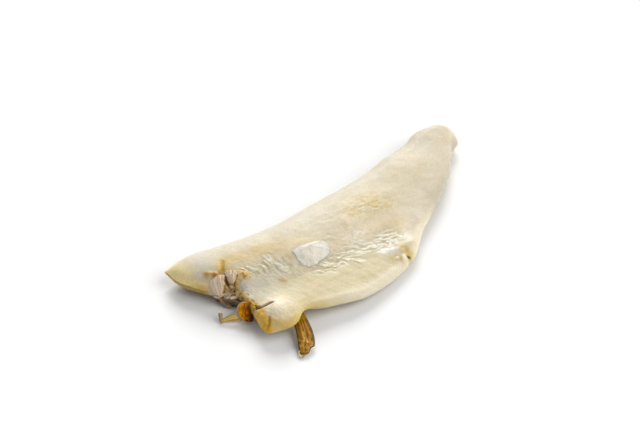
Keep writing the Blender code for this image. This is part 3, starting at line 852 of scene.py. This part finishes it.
def make_fin():
    """The pelvic fin: rays that fan out from its root, dark along both sides, lumpy and torn near its tip."""
    s, t, middle, face, half = ribbon(*FIN)
    step = FIN_STEP * ease(0.8, 0.86, s) * ease(-0.1, -1, t)
    middle += unit(np.array(FIN_SIDE, float)) * step[..., None]
    middle += face * (0.9 * grain(s * 5, t * 1.3, 161) * ease(0.3, 0.7, s))[..., None]
    rays = np.cos(2 * np.pi * (2.4 * t + 0.25 * grain(s * 2.5, t * 2, 163)))
    lumps = layers(s * 9, t * 2.2, 165)
    low = ease(0.42, 0.7, s + 0.08 * grain(s * 4, t * 3, 167))
    rise = 0.4 * rays * (1 - 0.6 * low) + 0.9 * lumps * low + 0.25 * layers(s * 24, t * 6, 169)
    upper, lower = sheets_of(middle, face, half, rise)
    return upper, lower, painted(s, (190, 138, 42), (
        ((206, 132, 36), 0.7 * hump(t, 0.25, 0.5) * ease(0.5, 0.25, s)),
        ((130, 84, 18), 0.55 * ease(0.1, -0.8, rays) * (1 - 0.6 * low)),
        ((210, 166, 104), 0.75 * low * ease(-0.5, 0.6, lumps)),
        ((255, 232, 186), 0.9 * low * ease(0.3, 0.75, lumps)),
        ((110, 72, 22), 0.7 * low * ease(-0.25, -0.7, lumps)),
        ((92, 62, 10), 0.85 * ease(0.66, 0.95, t) * ease(0.05, 0.35, s)),
        ((84, 58, 12), 0.9 * ease(-0.62, -0.95, t) * ease(0.05, 0.2, s)),
        ((196, 164, 84), 0.9 * ease(0.3, 0.12, s + 0.05 * grain(s * 6, t * 3, 171))),
    ))


def make_frill():
    """A pale curl of loose skin beside the fin's tip."""
    s, t, middle, face, half = ribbon(*FRILL)
    upper, lower = sheets_of(middle, face, half, 0.3 * layers(s * 5, t * 2, 175))
    return upper, lower, painted(s, (224, 216, 184), (((120, 104, 60), 0.8 * ease(0.7, 0.9, s)),))


def make_collar():
    """The collar's cartilage: a crumpled plate of amber set past full light as painted light, with a pale
    curled lip, painted shade in the hollows between its crests and, on its right, dark folds darkened further
    with painted shade.
    """
    s, t, middle, face, half = ribbon(*COLLAR)
    fold = 1.5 * np.cos(2.2 * np.pi * t + 1.4 * s + 0.8 * grain(s * 2, t * 2, 181)) * ease(0, 0.3, s)
    middle += face * (fold + 2.2 * ease(0.45, 1, -t))[..., None]
    crests, fine = ridged(s * 3 + t, t * 2.6 - s, 183), mottled(s * 5, t * 3, 187)
    upper, lower = sheets_of(middle, face, half, 1.1 * (crests - 0.4) + 0.7 * layers(s * 9, t * 6, 185))
    # painted shade: 1 in the hollows between the crests
    dark = ease(0.75, 0.3, crests)
    # painted light: the amber base is set past full light, as the collar lies in shade
    return upper, lower, painted(s, (272, 190, 46), (
        ((255, 206, 80), 0.7 * hump(t, -0.35, 0.3) * fine),
        ((216, 124, 22), 0.65 * dark),
        ((176, 84, 14), 0.8 * ease(-0.1, 0.45, t + 0.7 * (fine - 0.5))),
        # painted shade in the hollows on its right, and along its right side
        ((84, 40, 8), 0.6 * dark * ease(-0.2, 0.4, t)),
        ((96, 46, 8), 0.9 * ease(0.45, 0.85, t + 0.4 * (s - 0.5)) * ease(0.3, 0.6, s)),
        ((255, 240, 200), 0.9 * ease(-0.6, -0.8, t)),
        ((150, 84, 20), 0.8 * ease(0.85, 0.97, s)),
    ))


def make_leaf():
    """A leaf of skin creased along its length, tan above the crease and pinkish beige below it."""
    s, t, middle, face, half = ribbon(*LEAF)
    crease = t + 0.25 * grain(s * 3, 0.5, 191) - 0.1
    middle += face * (1.1 * np.abs(crease) - 0.5)[..., None]
    upper, lower = sheets_of(middle, face, half, 0.3 * layers(s * 8, t * 2, 193))
    return upper, lower, painted(s, (252, 226, 166), (
        ((246, 218, 184), 0.85 * ease(0.05, 0.3, crease)),
        ((120, 82, 36), 0.8 * hump(crease, 0, 0.12)),
        ((110, 92, 44), 0.8 * ease(-0.78, -0.94, t)),
        ((238, 226, 196), 0.8 * ease(0.8, 0.95, t)),
        ((110, 84, 36), 0.7 * ease(0.9, 0.98, s)),
    ))


def make_stub():
    """The broken fin ray: a short, slightly bent column with a torn top and pale sides."""
    s, t, middle, face, half = ribbon(*STUB)
    middle += np.array((0, 0, 0.7)) * (ease(0.9, 1, s) * (t + grain(t * 3, 0.3, 195)))[..., None]
    upper, lower = sheets_of(middle, face, half, 0.25 * layers(s * 4, t * 3, 197))
    return upper, lower, painted(s, (206, 192, 166), (
        ((152, 134, 106), 0.6 * mottled(s * 3, t * 4, 199)),
        ((222, 212, 186), 0.8 * ease(0.7, 0.95, np.abs(t))),
        # the torn top: pale, and set past full light as painted light
        ((264, 256, 236), 0.9 * ease(0.86, 0.95, s)),
    ))


# Torn flesh at the neck: spine, side, widths, thickness, cup, and the colours of root, middle and tip.
# The pale, pink and peach colours go past full light: painted light on petals that lie in shade. The dark and
# black colours are painted shadow under the torn flakes.
PALE_LIT, PINK_LIT, ROSE, PEACH_LIT = (272, 258, 238), (270, 248, 228), (250, 218, 190), (258, 230, 196)
GREY, GOLD, DEEP = (196, 186, 166), (224, 194, 132), (190, 140, 74)
BROWN, TORN, SHADOW_GREY, SHADOW_BLACK = (170, 128, 84), (102, 84, 72), (66, 58, 64), (50, 47, 62)
NECK_FLAKES = (
    # left fan of flesh, right petal, lumps between them
    (((-150.1, 26, 26), (-153.3, 22.6, 24.6), (-155.6, 18.6, 19.8), (-156, 15.3, 13)),
     (-0.74, 0.62, -0.36), (14, 15, 13, 9), 1.6, -0.4, (ROSE, PALE_LIT, PINK_LIT)),
    (((-137.4, 21.6, 29.2), (-140.2, 17.6, 27), (-142.6, 12.6, 21.8)),
     (-0.79, 0.62, -0.1), (13, 11.5, 4), 2, -0.8, (PEACH_LIT, PALE_LIT, PEACH_LIT)),
    (((-149, 19.5, 18), (-148.4, 16.4, 18.6), (-146, 13.6, 17.4)),
     (0.3, 0.5, 0.8), (3, 4.2, 3), 2, 0, (BROWN, GOLD, BROWN)),
    (((-150.5, 18, 14.5), (-148, 15, 15), (-145, 12.5, 14.5)),
     (0.3, 0.5, 0.8), (2.4, 3.6, 2.6), 2, 0, (GREY, ROSE, BROWN)),
    (((-144.6, 17, 16.5), (-143, 14, 17), (-142, 10.5, 15.5)),
     (0.6, 0.3, 0.7), (2.4, 3.4, 2.6), 1.8, 0, (DEEP, PINK_LIT, GOLD)),
    # pale strips and lumps along the lower lip
    (((-160, 19.5, 10.5), (-156.5, 16, 9.8), (-152.5, 14, 13.5)),
     (0.2, 0.3, 0.9), (1.4, 2.2, 1.8), 1.3, 0, (PALE_LIT, PALE_LIT, PINK_LIT)),
    (((-152, 12.5, 8), (-149.5, 10.5, 9.8), (-147.6, 10, 12)),
     (-0.6, 0.4, 0.6), (2.6, 3.4, 3), 1.8, 0, (PINK_LIT, PALE_LIT, ROSE)),
    (((-149, 8.5, 9.6), (-145.5, 6, 10.4), (-142.5, 3.2, 11.4)),
     (0.3, 0.3, 0.9), (2.6, 4, 3.4), 2, 0, (PALE_LIT, PALE_LIT, GOLD)),
    # a dark sheet under them: torn brown tissue at its root, then painted shadow, dark grey and bluish black,
    # where the underside lies in shade; and a hanging brown strip
    (((-156.5, 20, 5), (-151.5, 12.5, 5.4), (-147, 5.5, 5.4), (-144.6, -2, 5.7)),
     (0, 0, -1), (5, 8, 8.6, 9), 1.4, 0.6, (TORN, SHADOW_GREY, SHADOW_BLACK)),
    (((-156, 17, 9), (-152.5, 11, 5.5), (-150.5, 7, 2.8)),
     (0.6, 0.5, 0.6), (4, 7, 3), 1.4, 0.3, (BROWN, TORN, TORN)),
)


def make_neck_flakes():
    """Petals of torn flesh at the neck, one for each row of NECK_FLAKES."""
    petals = []
    for seed, (spine, side, widths, thick, cup, (root, body, tip)) in enumerate(NECK_FLAKES):
        thicks, widest = (thick, thick, 0.7 * thick), np.max(widths)
        s, t, middle, face, half = ribbon(spine, side, widths, thicks, PETAL_SPANS, PETAL_ENDS, cup)
        middle += face * (0.5 * grain(s * 2.2, t * 1.6 + 3 * seed, 201))[..., None]
        sideways = (0.3 + 0.08 * widest) * grain(s * 6, 2 * t, 203 + seed) * np.abs(t)
        middle += unit(np.array(side, float)) * sideways[..., None]
        ahead = unit(np.array(spine[-1], float) - spine[0])
        middle += ahead * (3 * layers(t * 2.6 + 7 * seed, 0.5, 211, 2) * ease(0.4, 1, s))[..., None]
        turns = 0.2 * widest * t + 1.1 * grain(s * 1.6, 1.8 * t + 5 * seed, 205)
        crests = ridged(0.35 * widest * t + 3 * seed, 0.9 * s, 215)
        rise = 0.15 + 0.15 * np.cos(2 * np.pi * turns) + 0.8 * crests
        rise += 0.3 * layers(s * 4, t * 3 + 4 * seed, 207)
        petals.append((*sheets_of(middle, face, half, rise), painted(s, body, (
            (root, ease(0.3, 0.05, s)),
            (tip, ease(0.6, 0.95, s + 0.1 * grain(s * 4, 3 * t, 209 + seed))),
            # painted shade in the hollows between the petals' crests
            ((206, 168, 132), 0.4 * ease(0.5, 0.15, crests)),
            ((222, 188, 156), 0.5 * ease(0.1, -0.9, t + 0.5 * grain(s * 3, 2 * t, 217 + seed))),
        ))))
    return tuple(np.stack(sheets) for sheets in zip(*petals))


ROOT = "root"
fin_skin, cartilage = wet_skin("golden brown fin skin", 500), wet_skin("amber cartilage", 300, 0.25, 0.22)
frill_skin = wet_skin("pale loose skin", 400, 0.3, stain=0.05)
leaf_skin, ray_skin = wet_skin("tan skin leaf", 400, stain=0.15), wet_skin("grey fin ray", 400, stain=0.05)
torn_flesh = wet_flesh("torn flesh", (0.5, 0.3), 0.4, 2)
PIECES = (
    (make_fillet(), "fillet", "flesh"),
    (make_flake(), "loose_flake", "flake"),
    (make_piece("pelvic_fin_rays", make_fin(), fin_skin), "pelvic_fin", "fin"),
    (make_piece("fin_frill", make_frill(), frill_skin), None, "fin"),
    (make_piece("collar_cartilage", make_collar(), cartilage), "collar_bone", "collar"),
    (make_piece("skin_leaf", make_leaf(), leaf_skin), "fin_strip", "strip"),
    (make_piece("broken_ray", make_stub(), ray_skin), "bone_stub", "ray"),
    (make_piece("neck_flakes", make_neck_flakes(), torn_flesh), None, "flesh"),
)
for piece, node, slot in PIECES:
    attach(piece, ROOT)
    if node:
        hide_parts(node)

# -------- ground, light and camera

AIM = Vector((0, 63, 0)) * MM
AZIMUTH, ELEVATION, DISTANCE, LENS, SENSOR = -38, 40, 1.6, 90, 36
GROUND_SIZE, GROUND_DROP, ROOM_LIGHT = 12, 0.0003, 0.28
# Lights: name, azimuth, elevation, strength and width in degrees.
SUNS = (("key light", 143, 32, 2.88, 35), ("side fill", 40, 38, 2.1, 60))


def make_stage():
    bpy.ops.mesh.primitive_plane_add(size=GROUND_SIZE, location=(0, 0, -GROUND_DROP))
    ground = bpy.context.object
    ground.name = "ground"
    f = Finish("white ground", Roughness=0.9, Base_Color=(0.9, 0.9, 0.9, 1))
    f.shader.inputs["Specular IOR Level"].default_value = 0.1
    ground.data.materials.append(f.material)


def direction(azimuth, elevation):
    """Unit vector towards a point at an azimuth from -Y, turning to +X, and an elevation, both in degrees."""
    a, e = np.radians(azimuth), np.radians(elevation)
    return Vector((np.sin(a) * np.cos(e), -np.cos(a) * np.cos(e), np.sin(e)))


def add_sun(name, azimuth, elevation, strength, angle):
    sun = bpy.data.lights.new(name, "SUN")
    sun.energy, sun.angle = strength, np.radians(angle)
    lamp = bpy.data.objects.new(name, sun)
    lamp.rotation_euler = direction(azimuth, elevation).to_track_quat("Z", "Y").to_euler()
    bpy.context.scene.collection.objects.link(lamp)


def light_scene():
    world = bpy.data.worlds.new("soft room")
    world.use_nodes = True
    room = world.node_tree.nodes["Background"].inputs
    room["Color"].default_value, room["Strength"].default_value = (1, 1, 1, 1), ROOM_LIGHT
    bpy.context.scene.world = world
    for row in SUNS:
        add_sun(*row)
    bpy.context.scene.view_settings.view_transform = "Standard"


def add_camera():
    camera = bpy.data.cameras.new("camera")
    camera.lens, camera.sensor_width, camera.clip_end = LENS, SENSOR, 50
    eye = bpy.data.objects.new("camera", camera)
    back = direction(AZIMUTH, ELEVATION)
    eye.location = AIM + back * DISTANCE
    eye.rotation_euler = back.to_track_quat("Z", "Y").to_euler()
    bpy.context.scene.collection.objects.link(eye)
    bpy.context.scene.camera = eye


make_stage()
light_scene()
add_camera()
